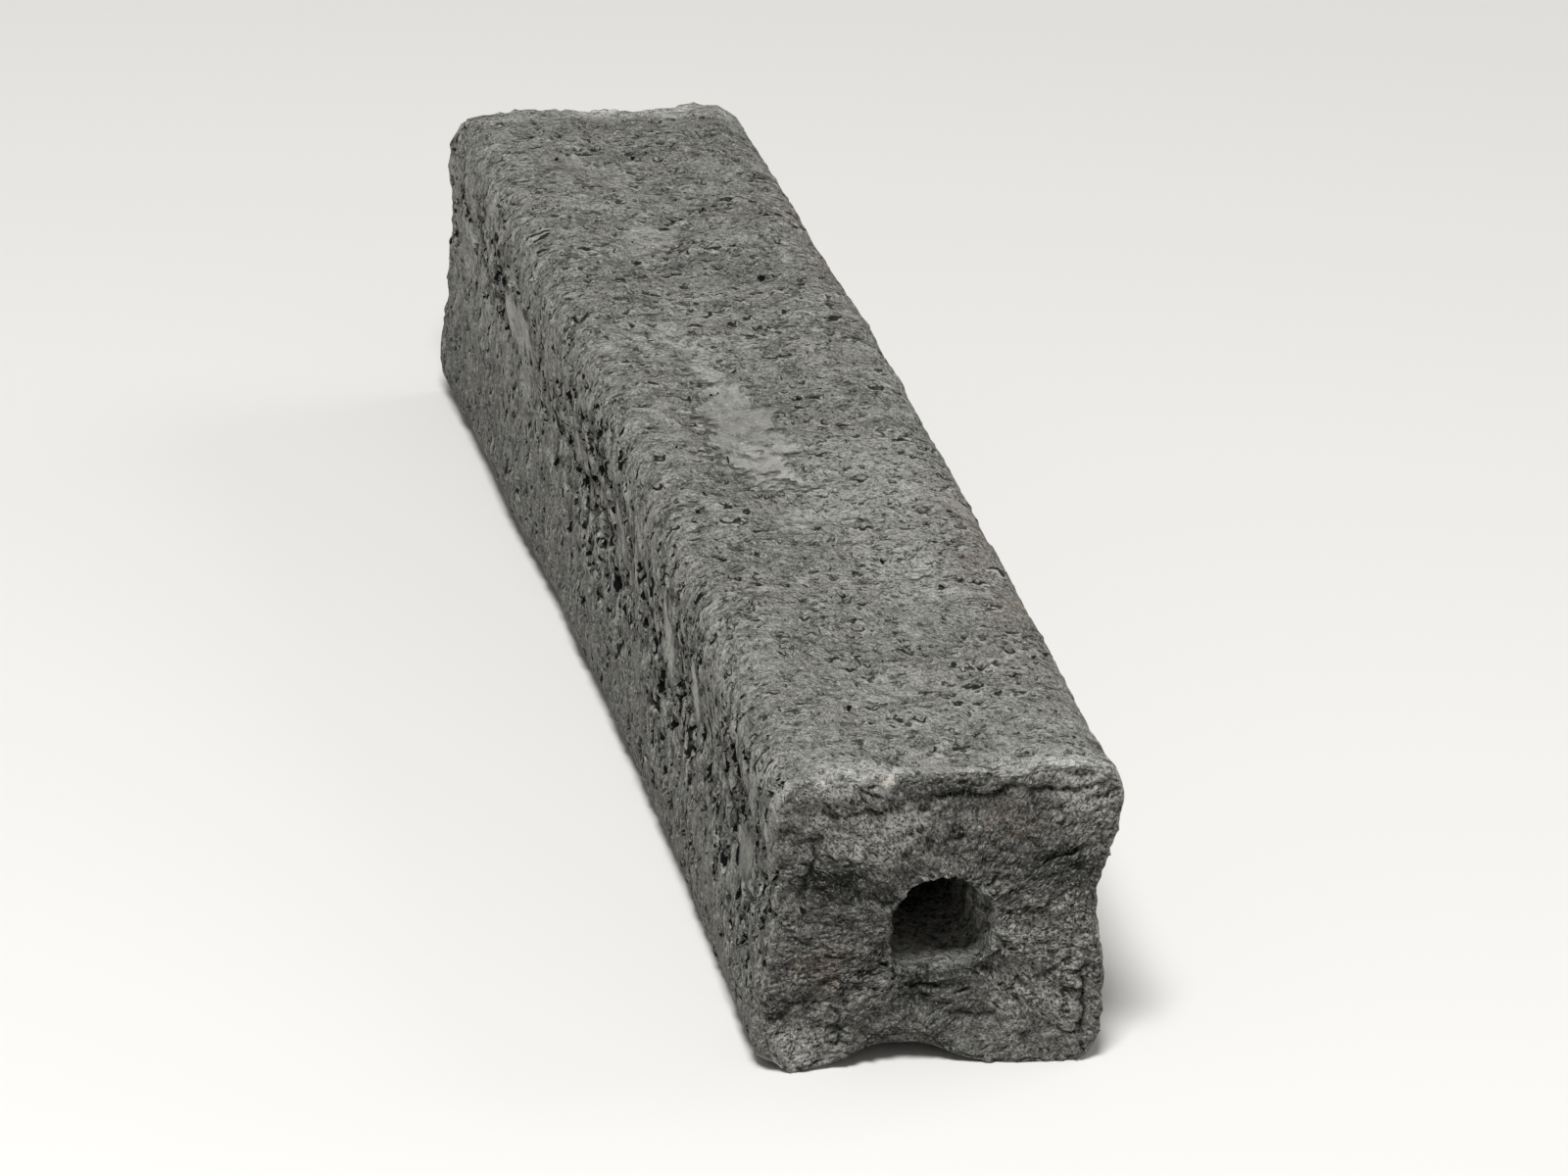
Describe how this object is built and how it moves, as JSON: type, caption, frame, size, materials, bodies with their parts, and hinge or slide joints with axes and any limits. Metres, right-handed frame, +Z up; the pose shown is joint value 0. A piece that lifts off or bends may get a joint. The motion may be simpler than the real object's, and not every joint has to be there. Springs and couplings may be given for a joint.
{
  "type": "sawdust charcoal briquette",
  "caption": "Square bar of pressed sawdust charcoal with rounded edges, broken ends and a central air hole along its length; fuel for a grill or stove.",
  "frame": {"origin": "middle of the bounding box's base, on the flat underside that the bar lies on", "axes": "+Y along the bar and its hole, away from the cleanly broken end that faces the camera; +Z up, square to the underside; +X to the right as seen from that end"},
  "size_m": [0.0466, 0.2336, 0.0442],
  "materials": {
    "charcoal": "matt, rough, dusty carbonised sawdust"
  },
  "bodies": {
    "root": {"briquette": "charcoal"}
  },
  "joints": []
}
